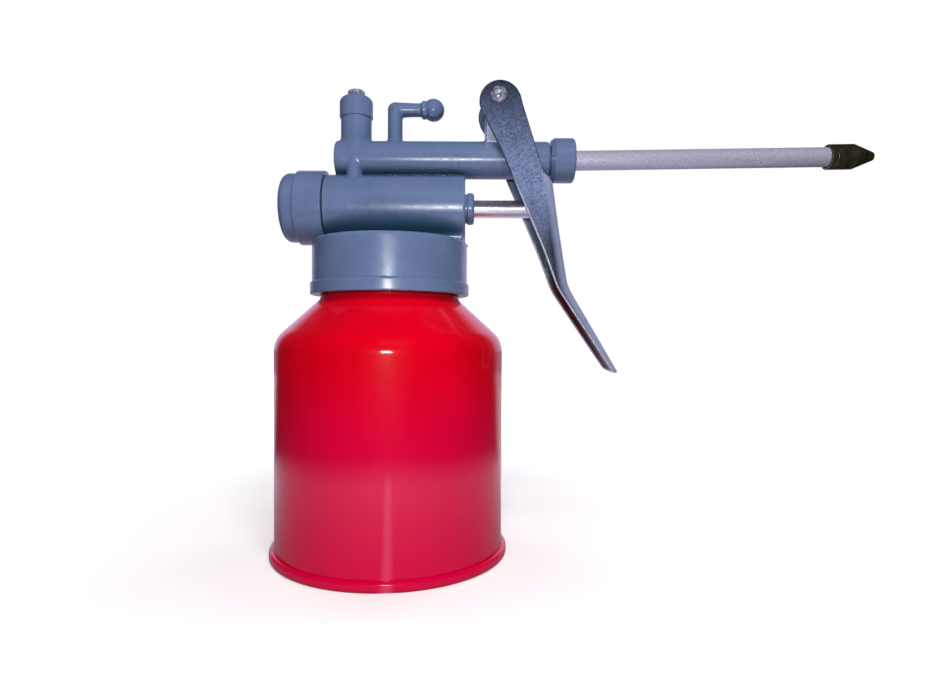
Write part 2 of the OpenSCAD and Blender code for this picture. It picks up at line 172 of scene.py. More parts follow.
# spout
SPOUT_TILT = math.radians(1.1)
SPOUT_X = SPIGOT_END + 0.9
SPOUT_R = 3
TIP_R = 3.85
TIP_LEN = 14.4
TIP_CONE = 6.5
SPOUT_END = 96
TIP_START = SPOUT_END - TIP_LEN
TUBE_END = TIP_START + 6.5
TIP_COUNTERBORE_R = 3.3

# coil springs
RETURN_SPRING = {"radius": 4.85, "wire": 0.8, "turns": 13}
OUTLET_SPRING = {"radius": 1.9, "wire": 0.4, "turns": 9}

# cells of the moulded pieces
HEAD_CELL = 0.44
LEVER_CELL = 0.31
SCREW_CELL = 0.16
RIVET_CELL = 0.2


# ---------------------------------------------------------------- turned pieces
def outline(corners, steps=6):
    """Stretches (start, end, normal at start, normal at end) of a closed outline.

    Its corners are (radius, along, fillet)."""
    flat = np.array([c[:2] for c in corners], float)
    area = sum(a[0] * b[1] - b[0] * a[1] for a, b in zip(flat, np.roll(flat, -1, 0)))
    if area < 0:
        corners, flat = corners[::-1], flat[::-1]
    points = []
    for i, (*_, fillet) in enumerate(corners):
        here = flat[i]
        back, onward = flat[i - 1] - here, flat[(i + 1) % len(flat)] - here
        back, onward = back / np.linalg.norm(back), onward / np.linalg.norm(onward)
        if fillet <= 0:
            points.append((here, None))
            continue
        half = math.acos(np.clip(back @ onward, -1, 1)) / 2
        middle = (back + onward) / np.linalg.norm(back + onward)
        centre = here + middle * fillet / math.sin(half)
        first = here + back * fillet / math.tan(half) - centre
        side = 1 if back[0] * onward[1] - back[1] * onward[0] < 0 else -1
        turn = side * (math.pi - 2 * half)
        for k in range(steps + 1):
            c, s = math.cos(turn * k / steps), math.sin(turn * k / steps)
            spoke = np.array([first[0] * c - first[1] * s, first[0] * s + first[1] * c])
            points.append((centre + spoke, side * spoke / fillet))
    stretches = []
    for (a, normal_a), (b, normal_b) in zip(points, points[1:] + points[:1]):
        run = b - a
        size = np.linalg.norm(run)
        if size < 1e-6 or (a[0] < 1e-6 and b[0] < 1e-6):
            continue
        straight = np.array([run[1], -run[0]]) / size
        round_stretch = (
            normal_a is not None and normal_b is not None
            and normal_a @ straight > 0.9 and abs((normal_a - normal_b) @ straight) < 1e-6
            and np.linalg.norm(normal_a - normal_b) > 1e-6
        )
        stretches.append((a, b, normal_a, normal_b) if round_stretch else (a, b, straight, straight))
    return stretches


def split_long(stretches, reach):
    """The same stretches, with the straight ones cut into lengths of at most reach."""
    made = []
    for a, b, normal_a, normal_b in stretches:
        count = max(1, math.ceil(np.linalg.norm(b - a) / reach))
        for k in range(count):
            ends = [a + (b - a) * (k + e) / count for e in (0, 1)]
            normals = [normal_a + (normal_b - normal_a) * (k + e) / count for e in (0, 1)]
            made.append((*ends, *normals))
    return made


def turned(name, corners, axis=Matrix.Identity(4), around=128, steps=6, reach=1e9, relief=None):
    """A piece turned about the Z axis of the matrix axis, in millimetres, with exact normals."""
    stretches = split_long(outline(corners, steps), reach)
    key = {}
    points, rings = [], []
    angles = np.arange(around) * 2 * math.pi / around

    def ring(p):
        place = (round(p[0], 5), round(p[1], 5))
        if place not in key:
            key[place] = len(rings)
            first = len(points)
            if p[0] < 1e-6:
                points.append((0.0, 0.0, p[1]))
                rings.append([first] * around)
            else:
                grow = relief(angles, p[0], p[1]) if relief else np.zeros(around)
                for a, extra in zip(angles, grow):
                    points.append(((p[0] + extra) * math.cos(a), (p[0] + extra) * math.sin(a), p[1]))
                rings.append(list(range(first, first + around)))
        return rings[key[place]]

    faces, normals = [], []
    for a, b, normal_a, normal_b in stretches:
        low, high = ring(a), ring(b)
        for j in range(around):
            k = (j + 1) % around
            corner_list = [(low[j], j, normal_a), (low[k], k, normal_a), (high[k], k, normal_b),
                           (high[j], j, normal_b)]
            if low[j] == low[k]:
                corner_list.pop(0)
            elif high[j] == high[k]:
                corner_list.pop(2)
            faces.append([c[0] for c in corner_list])
            normals += [(n[0] * math.cos(angles[i]), n[0] * math.sin(angles[i]), n[1])
                        for _, i, n in corner_list]
    mesh = bpy.data.meshes.new(name)
    mesh.from_pydata([Vector(p) * MM for p in points], [], faces)
    mesh.polygons.foreach_set("use_smooth", [True] * len(faces))
    if relief:
        mesh.set_sharp_from_angle(angle=math.radians(50))
    else:
        mesh.normals_split_custom_set([Vector(n).normalized() for n in normals])
    place = axis.copy()
    place.translation *= MM
    mesh.transform(place)
    return linked(name, mesh)


def linked(name, mesh):
    piece = bpy.data.objects.new(name, mesh)
    bpy.context.scene.collection.objects.link(piece)
    return piece


def along_x(height):
    return Matrix.Translation((0, 0, height)) @ Matrix.Rotation(math.pi / 2, 4, "Y")


def along_z(x):
    return Matrix.Translation((x, 0, 0))


ALONG_SPOUT = Matrix.Translation((SPOUT_X, 0, BARREL_Z)) @ Matrix.Rotation(math.pi / 2 - SPOUT_TILT, 4, "Y")


def coil(name, start, direction, radius, wire, length, turns):
    """A helical spring from start along direction, its end turns closed up, in millimetres."""
    sides, per_turn = 10, 32
    count = round(turns * per_turn)
    turn = np.linspace(0, turns, count + 1)
    open_rise = (length - 3 * wire) / (turns - 2)
    rise = np.where(turn < 1, turn * wire, wire + (turn - 1) * open_rise)
    rise = np.where(turn > turns - 1, length - wire - (turns - turn) * wire, rise)
    angle = 2 * math.pi * turn
    points = []
    for a, lift in zip(angle, rise):
        for b in np.arange(sides) * 2 * math.pi / sides:
            q = radius + wire / 2 * math.cos(b)
            points.append((q * math.cos(a), q * math.sin(a), wire / 2 + lift + wire / 2 * math.sin(b)))
    faces = [[i * sides + j, (i + 1) * sides + j,
              (i + 1) * sides + (j + 1) % sides, i * sides + (j + 1) % sides]
             for i in range(count) for j in range(sides)]
    faces += [list(range(sides)), [count * sides + j for j in reversed(range(sides))]]
    mesh = bpy.data.meshes.new(name)
    mesh.from_pydata([Vector(p) * MM for p in points], [], faces)
    mesh.polygons.foreach_set("use_smooth", [True] * len(faces))
    turn_to = Vector(direction).to_track_quat("Z", "Y").to_matrix().to_4x4()
    mesh.transform(Matrix.Translation(Vector(start) * MM) @ turn_to)
    mesh.flip_normals()
    return linked(name, mesh)


# ---------------------------------------------------------------- moulded pieces, as signed distances in mm
def size_of(*parts):
    return np.sqrt(sum(p * p for p in parts))


def bar(radial, along, radius, low, high, edge=0.0):
    """Distance to a round bar with rounded edges."""
    a = radial - radius + edge
    b = np.abs(along - (low + high) / 2) - (high - low) / 2 + edge
    return np.minimum(np.maximum(a, b), 0) + size_of(np.maximum(a, 0), np.maximum(b, 0)) - edge


def block(x, y, z, low, high, edge=0.0):
    """Distance to a box with rounded edges."""
    gaps = [np.abs(p - (a + b) / 2) - (b - a) / 2 + edge for p, a, b in zip((x, y, z), low, high)]
    deepest = np.maximum(np.maximum(gaps[0], gaps[1]), gaps[2])
    return np.minimum(deepest, 0) + size_of(*[np.maximum(g, 0) for g in gaps]) - edge


def join(a, b, blend=0.0):
    """Union, with a fillet about as wide as blend."""
    if not blend:
        return np.minimum(a, b)
    near = np.maximum(blend - np.abs(a - b), 0) / blend
    return np.minimum(a, b) - near * near * blend / 4


def keep(a, b, blend=0.0):
    """Intersection, its edges softened by blend."""
    return -join(-a, -b, blend)


def cut(a, b, blend=0.0):
    return keep(a, -b, blend)


def thread(x, y, z, radius, depth):
    """Distance to a round thread wound on a cylinder, fading past both ends."""
    turn = (z - THREAD_FOOT) / THREAD_PITCH - np.arctan2(y, x) / (2 * math.pi)
    across = (turn - np.round(turn)) * THREAD_PITCH
    past = np.maximum(np.maximum(THREAD_FOOT - z, z - THREAD_HEAD), 0)
    return size_of(size_of(x, y) - radius, across, 0.6 * past) - depth


def head_field(x, y, z):
    """Distance to the head moulding: collar, pump cylinder, barrel, valve tower, hook and lever lug."""
    radial = size_of(x, y)
    body = bar(radial, z, COLLAR_R, COLLAR_Z, COLLAR_TOP, 0.8)
    body = join(body, bar(radial, z, FLANGE_R, COLLAR_Z, COLLAR_Z + FLANGE_H, 0.45), 0.3)
    body = cut(body, bar(radial, z, COLLAR_BORE, COLLAR_Z - 5, ROOF_Z), 0.4)
    body = cut(body, thread(x, y, z, COLLAR_BORE, THREAD_DEPTH), 0.15)
    tower_radial = size_of(x - TOWER_X, y)
    body = join(body, bar(tower_radial, z, BOSS_R, BOSS_FOOT, ROOF_Z + 1, 0.3), 0.8)
    pump_radial = size_of(y, z - CYL_Z)
    pump = bar(pump_radial, x, CYL_R, CYL_LEFT, CYL_RIGHT, 0.45)
    saddle = block(x, y, z, (SADDLE_LEFT, -SADDLE_HALF, COLLAR_TOP - 1),
                   (SADDLE_RIGHT, SADDLE_HALF, COLLAR_TOP + 5), 0.5)
    body = join(body, saddle, 0.4)
    body = join(body, pump, 1.0)
    barrel_radial = size_of(y, z - BARREL_Z)
    barrel = bar(barrel_radial, x, BARREL_R, BARREL_LEFT, nut_low.x - 0.4, 0.8)
    barrel = join(barrel, bar(barrel_radial, x, SPIGOT_R, BARREL_LEFT + 2, SPIGOT_END, 0.3), 0.2)
    column = size_of(x - TOWER_X, np.maximum(np.abs(y) - COLUMN_SIDE, 0)) - COLUMN_R
    column = np.maximum(column, np.maximum(COLUMN_FOOT - z, z - BARREL_Z))
    upper = join(barrel, column, 0.35)
    tower = bar(tower_radial, z, TOWER_R, BARREL_Z - 2, valve_low.z, 0.12)
    tower = join(tower, bar(tower_radial, z, 4, BARREL_Z - 2, valve_high.z - 2.8, 0.2), 0.15)
    upper = join(upper, tower, 1.1)
    stem = bar(size_of(x - HOOK_X, y), z, HOOK_R, BARREL_Z, HOOK_Z)
    arm_radial = size_of(y, z - HOOK_Z)
    waist = HOOK_R - 0.25 * np.clip((x - HOOK_X) / 6, 0, 1)
    arm = np.maximum(arm_radial - waist, np.maximum(HOOK_X - x, x - HOOK_BALL_X))
    elbow = size_of(x - HOOK_X, y, z - HOOK_Z) - HOOK_R
    hook = join(join(stem, arm, 0.8), elbow, 0.1)
    hook = join(hook, bar(arm_radial, x, 2.75, HOOK_BALL_X - 3.6, HOOK_BALL_X - 2.2, 0.5), 0.5)
    hook = join(hook, size_of(x - HOOK_BALL_X, y, z - HOOK_Z) - HOOK_BALL_R, 0.4)
    upper = join(upper, hook, 1.1)
    lug = bar(size_of(x - PIVOT_X, z - PIVOT_Z), y, LUG_R, -LUG_HALF, LUG_HALF, 0.4)
    post = block(x, y, z, (PIVOT_X - LUG_R, -LUG_HALF, BARREL_Z + POST_RISE),
                 (PIVOT_X + LUG_R, LUG_HALF, PIVOT_Z), 0.4)
    # the post's sides lean in towards the barrel
    post = keep(post, (np.abs(y) - 4.4 - 0.3 * (z - BARREL_Z - POST_RISE)) * 0.96, 0.3)
    upper = join(upper, join(lug, post, 0.2), 1.0)
    body = join(body, upper, 0.3)
    nub = size_of(x - COLLAR_R, y, (z - COLLAR_TOP + 0.9) * 1.6) - 0.45
    body = join(body, nub, 0.3)
    # scallop that clears the cap's rim, then the bores
    body = cut(body, bar(pump_radial, x, (cap_high.z - cap_low.z) / 2 + 0.3, -29, CYL_LEFT + 0.02), 0.3)
    body = cut(body, bar(pump_radial, x, BORE_R, CYL_LEFT - 5, 15.6), 0.1)
    body = cut(body, bar(pump_radial, x, CAP_SPIGOT_R, CYL_LEFT - 5, CAP_SPIGOT_X), 0.2)
    body = cut(body, bar(pump_radial, x, SPIGOT_R, 17.4, CYL_RIGHT + 5), 0.2)
    body = cut(body, bar(pump_radial, x, 2.8, 14, CYL_RIGHT + 5))
    inlet = join(bar(tower_radial, z, SEAT_POCKET_R, 80, 92.5),
                 bar(tower_radial, z, BALL_ROOM_R, 91, INLET_ROOF))
    outlet = bar(tower_radial, z, BALL_ROOM_R, OUTLET_SEAT, valve_high.z)
    port = bar(tower_radial, z, PORT_R, 97, 101.3)
    port = join(port, bar(tower_radial, z, PORT_R, CYL_Z + BORE_R - 0.5, 119))
    channel = bar(barrel_radial, x, CHANNEL_R, TOWER_X, SPIGOT_END + 4)
    passages = join(join(inlet, outlet), join(port, channel))
    body = cut(body, passages)
    return cut(body, size_of(x - PIVOT_X, z - PIVOT_Z) - RIVET_R - 0.05, 0.2)


def sampled(field, points):
    """Value and slope of a field at points."""
    step = 0.01
    value = field(*points.T)
    slope = np.empty_like(points)
    for i in range(3):
        ahead, behind = points.copy(), points.copy()
        ahead[:, i] += step
        behind[:, i] -= step
        slope[:, i] = (field(*ahead.T) - field(*behind.T)) / (2 * step)
    return value, slope


def moulded(name, field, low, high, cell, marks=None):
    """A piece whose surface is where field is zero.

    Its vertices lie on the field and take its slope as normals."""
    low, high = np.array(low, float), np.array(high, float)
    counts = np.ceil((high - low) / cell).astype(int) + 1
    x, y, z = np.meshgrid(*[low[i] + cell * np.arange(counts[i]) for i in range(3)],
                          indexing="ij", sparse=True)
    values = np.ascontiguousarray(np.broadcast_to(field(x, y, z), counts), dtype=np.float32)
    grid = openvdb.FloatGrid(background=10.0)
    grid.copyFromArray(values)
    points, faces = grid.convertToQuads(0.0)
    points = points.astype(float) * cell + low
    start = points.copy()
    for _ in range(4):
        value, slope = sampled(field, points)
        step = slope * (value / np.maximum((slope * slope).sum(1), 0.05))[:, None]
        points -= np.clip(step, -cell / 2, cell / 2)
        points = np.clip(points, start - cell, start + cell)
    slope = sampled(field, points)[1]
    slope /= np.maximum(np.linalg.norm(slope, axis=1), 1e-6)[:, None]
    corners = points[faces]
    facing = np.cross(corners[:, 2] - corners[:, 0], corners[:, 3] - corners[:, 1])
    if (facing * slope[faces[:, 0]]).sum() < 0:
        faces = faces[:, ::-1]
    mesh = bpy.data.meshes.new(name)
    mesh.from_pydata(points * MM, [], faces.tolist())
    mesh.polygons.foreach_set("use_smooth", [True] * len(faces))
    mesh.normals_split_custom_set_from_vertices(slope)
    for mark, measure in (marks or {}).items():
        layer = mesh.attributes.new(mark, "FLOAT", "POINT")
        layer.data.foreach_set("value", measure(*points.T).astype(np.float32))
    return linked(name, mesh)


def rounded(path, steps=6):
    """A closed outline of (x, z, fillet) corners as points."""
    flat = np.array([p[:2] for p in path], float)
    made = []
    for i, (*_, fillet) in enumerate(path):
        here = flat[i]
        if fillet <= 0:
            made.append(here)
            continue
        back, onward = flat[i - 1] - here, flat[(i + 1) % len(flat)] - here
        back, onward = back / np.linalg.norm(back), onward / np.linalg.norm(onward)
        half = math.acos(back @ onward) / 2
        centre = here + (back + onward) / np.linalg.norm(back + onward) * fillet / math.sin(half)
        first, last = (here + d * fillet / math.tan(half) - centre for d in (back, onward))
        for k in range(steps + 1):
            spoke = first + (last - first) * k / steps
            made.append(centre + spoke * fillet / np.linalg.norm(spoke))
    return np.array(made)


def polygon_distance(x, z, points):
    """Signed distance in the XZ plane to a closed polygon, negative inside."""
    nearest = np.full(np.broadcast(x, z).shape, 1e9)
    inside = np.zeros(nearest.shape, bool)
    for a, b in zip(points, np.roll(points, -1, 0)):
        run = b - a
        t = np.clip(((x - a[0]) * run[0] + (z - a[1]) * run[1]) / (run @ run), 0, 1)
        nearest = np.minimum(nearest, (x - a[0] - t * run[0]) ** 2 + (z - a[1] - t * run[1]) ** 2)
        if a[1] != b[1]:
            crossing = (z < a[1]) != (z < b[1])
            inside ^= crossing & (x < a[0] + (z - a[1]) * run[0] / run[1])
    return np.sqrt(nearest) * np.where(inside, -1, 1)


top, bend, tip = (np.array(p) for p in (WEB_TOP, WEB_BEND, WEB_TIP))
UP, DOWN = (top - bend) / np.linalg.norm(top - bend), (tip - bend) / np.linalg.norm(tip - bend)
HALF_BEND = math.acos(UP @ DOWN) / 2
BEND_CENTRE = bend + (UP + DOWN) / np.linalg.norm(UP + DOWN) * WEB_BEND_R / math.sin(HALF_BEND)
BEND_START, BEND_STOP = (bend + d * WEB_BEND_R / math.tan(HALF_BEND) for d in (UP, DOWN))
SIDE_OUTLINE = rounded(FLANGE_EDGE + [
    (WEB_TIP[0] + 3, WEB_TIP[1] - 3, 0), (WEB_BEND[0] + 3, WEB_BEND[1], 0),
    (WEB_TOP[0] + 3, WEB_TOP[1] - 0.4, 0), (WEB_TOP[0], WEB_TOP[1] - 0.4, 0),
    (46.9, 116.6, 1), (39.65, 139.6, 0)])


def web_distance(x, z):
    """Distance beyond the web's outer face, in the XZ plane, negative inside the channel."""
    def beyond(direction, sign):
        return sign * ((x - bend[0]) * direction[1] - (z - bend[1]) * direction[0])
    above = (x - BEND_START[0]) * UP[0] + (z - BEND_START[1]) * UP[1] > 0
    below = (x - BEND_STOP[0]) * DOWN[0] + (z - BEND_STOP[1]) * DOWN[1] > 0
    arc = WEB_BEND_R - size_of(x - BEND_CENTRE[0], z - BEND_CENTRE[1])
    return np.where(above, beyond(UP, 1), np.where(below, beyond(DOWN, -1), arc))


def lever_edge(x, z):
    """Distance to the lever's outline seen from the side."""
    ear = size_of(x - EAR_X, z - EAR_Z) - EAR_R
    return join(polygon_distance(x, z, SIDE_OUTLINE), ear, 0.6)


def channel_depth(x, y, z):
    """Distance to the outer skin of the lever's folded channel."""
    fold = 2.7 + 1.9 * np.clip((WEB_TOP[1] - z) / 14, 0, 1)
    a, b = web_distance(x, z) + fold, np.abs(y) - LEVER_HALF + fold
    return np.minimum(np.maximum(a, b), 0) + size_of(np.maximum(a, 0), np.maximum(b, 0)) - fold


def lever_field(x, y, z):
    """Distance to the lever: a bent channel of sheet, open towards the pump, with two flat ears."""
    outside = channel_depth(x, y, z)
    sheet = np.abs(outside + SHEET / 2) - SHEET / 2
    body = keep(sheet, lever_edge(x, z), 0.35)
    along = (tip[0] - x) * -DOWN[0] + (tip[1] - z) * -DOWN[1]
    corner = 5.5
    c, d = along + corner, np.abs(y) - LEVER_HALF + corner
    tongue = np.minimum(np.maximum(c, d), 0) + size_of(np.maximum(c, 0), np.maximum(d, 0)) - corner
    body = keep(body, tongue, 0.35)
    return cut(body, size_of(x - PIVOT_X, z - PIVOT_Z) - RIVET_R, 0.15)


def cut_edge(x, y, z):
    """1 on the sheared edges of the lever's sheet, 0 on its faces."""
    along = (x - tip[0]) * DOWN[0] + (z - tip[1]) * DOWN[1]
    return np.clip(1.6 + np.maximum(lever_edge(x, z), along) / 0.25, 0, 1)


def web_face(x, y, z):
    """1 on the web and its rounded corners, 0 on the flanges."""
    return np.clip((web_distance(x, z) + 3.4) / 1.8, 0, 1)


def inner_face(x, y, z):
    """1 on the faces inside the channel, 0 on its outer skin."""
    return np.clip(-2.5 * channel_depth(x, y, z) / SHEET - 1.25, 0, 1)


def screw_field(x, y, z):
    """Distance to the valve screw: a domed head with a worn slot on a shank."""
    radial = size_of(x - TOWER_X, y)
    head = bar(radial, z, SCREW_HEAD_R, valve_high.z - 0.6, screw_high.z, 0.55)
    body = join(head, bar(radial, z, SCREW_R, screw_low.z, valve_high.z + 0.5, 0.2), 0.2)
    lean = (x - TOWER_X) * 0.35 + y
    return cut(body, np.maximum(np.abs(lean) - 0.42, screw_high.z - 0.95 - z), 0.25)


def rivet_field(x, y, z):
    """Distance to the pivot rivet: a shank and two hammered heads."""
    radial = size_of(x - PIVOT_X, z - PIVOT_Z)
    around = np.arctan2(z - PIVOT_Z, x - PIVOT_X)
    worn = 0.07 * np.sin(3 * around + 0.6) + 0.05 * np.sin(5 * around + 2)
    rise = rivet_high.y - LEVER_HALF
    dome_r = (RIVET_HEAD_R**2 + rise**2) / (2 * rise)
    out = np.abs(y) - LEVER_HALF
    dome = size_of(radial * (1 + worn * 0.4), out + dome_r - rise) - dome_r
    punched = size_of(radial * 1.3, out - rise - 1.0) - 1.25
    head = keep(keep(cut(dome, punched, 0.25), radial - 2.62 - worn, 0.3), -out, 0.05)
    return join(head, np.maximum(radial - RIVET_R, np.abs(y) - LEVER_HALF - 0.2))


# ---------------------------------------------------------------- materials
class Finish:
    """A material whose Principled shader is fed by procedural nodes in the piece's own space."""

    def __init__(self, name, **sockets):
        self.made = bpy.data.materials.new(name)
        self.made.use_nodes = True
        self.tree = self.made.node_tree
        self.shader = self.tree.nodes["Principled BSDF"]
        for key, value in sockets.items():
            self.shader.inputs[key.replace("_", " ")].default_value = value
        self.place = self.tree.nodes.new("ShaderNodeTexCoord").outputs["Object"]
        self.last_bump = None

    def node(self, kind, values=(), **settings):
        made = self.tree.nodes.new("ShaderNode" + kind)
        for key, value in settings.items():
            setattr(made, key, value)
        for key, value in dict(values).items():
            if isinstance(value, bpy.types.NodeSocket):
                self.tree.links.new(value, made.inputs[key])
            else:
                made.inputs[key].default_value = value
        return made

    def stretched(self, scale):
        return self.node("Mapping", {"Vector": self.place, "Scale": scale}).outputs["Vector"]

    def noise(self, size, detail=3.0, roughness=0.5, stretch=None):
        """Soft noise from 0 to 1 with features of about size millimetres."""
        where = self.stretched(stretch) if stretch else self.place
        return self.node("TexNoise", {"Vector": where, "Scale": 1 / (size * MM), "Detail": detail,
                                      "Roughness": roughness}).outputs["Fac"]

    def crease(self, reach, open_at=0.85, closed_at=0.35):
        """0 in the open, 1 deep in a corner of the same piece that is about reach millimetres across."""
        made = self.node("AmbientOcclusion", {"Distance": reach * MM}, only_local=True, samples=6)
        return self.ramp(made.outputs["AO"], open_at, closed_at)

    def mark(self, name):
        return self.node("Attribute", attribute_name=name).outputs["Fac"]

    def ramp(self, value, low, high, start=0.0, stop=1.0):
        """Value mapped from low..high to start..stop, clamped."""
        return self.node("MapRange", {"Value": value, "From Min": low, "From Max": high, "To Min": start,
                                      "To Max": stop}).outputs["Result"]

    def maths(self, operation, a, b=0.0):
        made = self.node("Math", {0: a, 1: b}, operation=operation)
        return made.outputs[0]

    def mix(self, factor, a, b):
        made = self.node("Mix", {0: factor}, data_type="RGBA")
        for index, value in ((6, a), (7, b)):
            if isinstance(value, bpy.types.NodeSocket):
                self.tree.links.new(value, made.inputs[index])
            else:
                made.inputs[index].default_value = (*value, 1)
        return made.outputs[2]

    def feed(self, socket, value):
        self.tree.links.new(value, self.shader.inputs[socket])

    def bump(self, height, depth):
        """Adds a bump of depth millimetres to those fed so far."""
        values = {"Height": height, "Distance": depth * MM, "Strength": 1.0}
        if self.last_bump:
            values["Normal"] = self.last_bump
        self.last_bump = self.node("Bump", values).outputs["Normal"]
        self.feed("Normal", self.last_bump)


def red_enamel():
    f = Finish("red_enamel", Coat_Weight=0.7, Coat_Roughness=0.09, Coat_IOR=1.45, Specular_IOR_Level=0.05)
    cloud = f.noise(22, 3)
    fine = f.noise(0.9, 2)
    height = f.node("SeparateXYZ", {0: f.place}).outputs["Z"]
    deep, bright, floor_reflection_pink = (0.60, 0.0, 0.008), (0.71, 0.0, 0.013), (0.58, 0.0, 0.046)
    speck, primer = (0.40, 0.0, 0.022), (0.09, 0.02, 0.025)
    colour = f.mix(f.ramp(cloud, 0.35, 0.65), deep, bright)
    # Painted reflection of the floor: below 58 mm the enamel blends to a pinker red, fully pink under 30 mm.
    colour = f.mix(f.ramp(height, 0.058, 0.030), colour, floor_reflection_pink)
    colour = f.mix(f.ramp(fine, 0.35, 0.75, 0, 0.16), colour, speck)
    chips = f.ramp(f.noise(2.3, 6, 0.65), 0.775, 0.79)
    low_down = f.ramp(height, 0.0045, 0.0018)
    scuffs = f.maths("MULTIPLY", f.ramp(f.noise(1.1, 6, 0.7), 0.66, 0.7), low_down)
    worn = f.maths("MAXIMUM", f.maths("MULTIPLY", chips, 0.8), scuffs)
    f.feed("Base Color", f.mix(worn, colour, primer))
    f.feed("Roughness", f.ramp(f.noise(6, 5, 0.6), 0.3, 0.7, 0.26, 0.4))
    f.bump(f.noise(14, 2), 0.05)
    f.bump(f.noise(0.7, 2), 0.013)
    f.bump(f.maths("MULTIPLY", worn, -1.0), 0.02)
    return f.made


def slate_plastic():
    f = Finish("slate_plastic", IOR=1.5, Specular_IOR_Level=0.5)
    cloud = f.noise(9, 4)
    deep, bright, dust = (0.105, 0.158, 0.298), (0.132, 0.184, 0.342), (0.30, 0.34, 0.52)
    dirt, lightened, shade = (0.075, 0.125, 0.23), (0.34, 0.40, 0.60), (0.006, 0.045, 0.08)
    colour = f.mix(f.ramp(cloud, 0.3, 0.7), deep, bright)
    speck = f.ramp(f.noise(0.7, 5, 0.7), 0.68, 0.72)
    colour = f.mix(f.maths("MULTIPLY", speck, 0.5), colour, dust)
    grime = f.ramp(f.noise(5, 6, 0.65), 0.56, 0.74, 0, 0.35)
    colour = f.mix(grime, colour, dirt)
    # Painted highlight: sharp convex edges, found by pointiness, turn pale blue as if light caught them.
    edge_highlight = f.ramp(f.node("NewGeometry").outputs["Pointiness"], 0.525, 0.60, 0, 0.6)
    edge_highlight = f.maths("MULTIPLY", edge_highlight, f.ramp(f.noise(1.5, 4, 0.6), 0.35, 0.6, 0.25, 1))
    colour = f.mix(edge_highlight, colour, lightened)
    f.feed("Base Color", f.mix(f.maths("MULTIPLY", f.crease(15, 0.86, 0.40), 0.92), colour, shade))
    f.feed("Roughness", f.ramp(f.noise(2.6, 5, 0.6), 0.3, 0.7, 0.20, 0.34))
    f.bump(f.noise(3.5, 3), 0.025)
    f.bump(f.noise(0.45, 2), 0.003)
    return f.made


def hammered_steel():
    f = Finish("hammered_steel", Metallic=0.3, Specular_IOR_Level=0.5)
    grain = f.ramp(f.noise(0.5, 4, 0.8), 0.41, 0.61)
    blotch = f.noise(7, 4, 0.6)
    height = f.node("SeparateXYZ", {0: f.place}).outputs["Z"]
    drift = f.maths("ADD", height, f.maths("MULTIPLY", blotch, 0.012))
    web_deep, web_bright = (0.30, 0.35, 0.55), (0.37, 0.43, 0.64)
    inner_top, inner_painted_shade, inner_painted_can_reflection = (0.085, 0.125, 0.23), (0.010, 0.035, 0.055), (0.045, 0.012, 0.028)
    edge_dark, bare_lit_steel = (0.03, 0.05, 0.075), (0.72, 0.75, 0.86)
    dark = f.mix(grain, (0.003, 0.013, 0.026), (0.043, 0.057, 0.118))
    light = f.mix(grain, (0.070, 0.125, 0.250), (0.255, 0.295, 0.530))
    pale = f.maths("MULTIPLY", f.ramp(drift, 0.150, 0.126), f.ramp(drift, 0.100, 0.116))
    flange = f.mix(pale, dark, light)
    smooth = f.mix(f.ramp(blotch, 0.35, 0.65), web_deep, web_bright)
    colour = f.mix(f.mark("web_face"), flange, smooth)
    # Painted shade and reflection on the faces inside the channel: slate blue high up, dark teal lower down, and
    # maroon towards the foot where the red can is mirrored.
    inner_shade_and_reflection = f.mix(f.ramp(height, 0.106, 0.092), inner_top, inner_painted_shade)
    inner_shade_and_reflection = f.mix(f.ramp(height, 0.090, 0.080), inner_shade_and_reflection, inner_painted_can_reflection)
    colour = f.mix(f.mark("inner_face"), colour, inner_shade_and_reflection)
    edge = f.mark("cut_edge")
    # Cut edges show bare steel below about 108 mm; its pale colour there is a painted highlight.
    lightened = f.maths("MULTIPLY", f.ramp(f.noise(1.6, 4, 0.6), 0.3, 0.5, 0.5, 1),
                     f.ramp(height, 0.116, 0.108))
    bare_lit_edge = f.maths("MULTIPLY", edge, lightened)
    colour = f.mix(f.maths("MULTIPLY", edge, 0.7), colour, edge_dark)
    f.feed("Base Color", f.mix(bare_lit_edge, colour, bare_lit_steel))
    rough = f.ramp(f.noise(1.2, 4, 0.6), 0.3, 0.7, 0.34, 0.52)
    f.feed("Roughness", f.maths("SUBTRACT", rough, f.maths("MULTIPLY", bare_lit_edge, 0.12)))
    f.feed("Metallic", f.maths("MAXIMUM", f.maths("MULTIPLY", bare_lit_edge, 0.5), 0.25))
    f.bump(grain, 0.012)
    f.bump(blotch, 0.05)
    return f.made


def bright_steel():
    f = Finish("bright_steel")
    height = f.node("SeparateXYZ", {0: f.place}).outputs["Z"]
    outside = f.ramp(height, 0.122, 0.126)
    rings = f.noise(0.5, 2, stretch=(1, 0.15, 0.15))
    tarnish = f.noise(3.5, 5, 0.6)
    colour = f.mix(f.ramp(tarnish, 0.4, 0.75), (0.80, 0.81, 0.90), (0.50, 0.52, 0.64))
    # Above about 122 mm, on the rivet and the valve screw, the steel turns to dark and pale lavender patches
    # with less metallic shine; the pale lavender is a painted sheen.
    worn = f.mix(f.ramp(f.noise(0.9, 4, 0.7), 0.42, 0.6), (0.16, 0.17, 0.26), (0.62, 0.61, 0.78))
    f.feed("Base Color", f.mix(outside, colour, worn))
    f.feed("Metallic", f.ramp(outside, 0, 1, 0.92, 0.45))
    f.feed("Roughness", f.ramp(f.noise(1.3, 4, 0.6), 0.3, 0.7, 0.26, 0.38))
    f.bump(rings, 0.003)
    return f.made


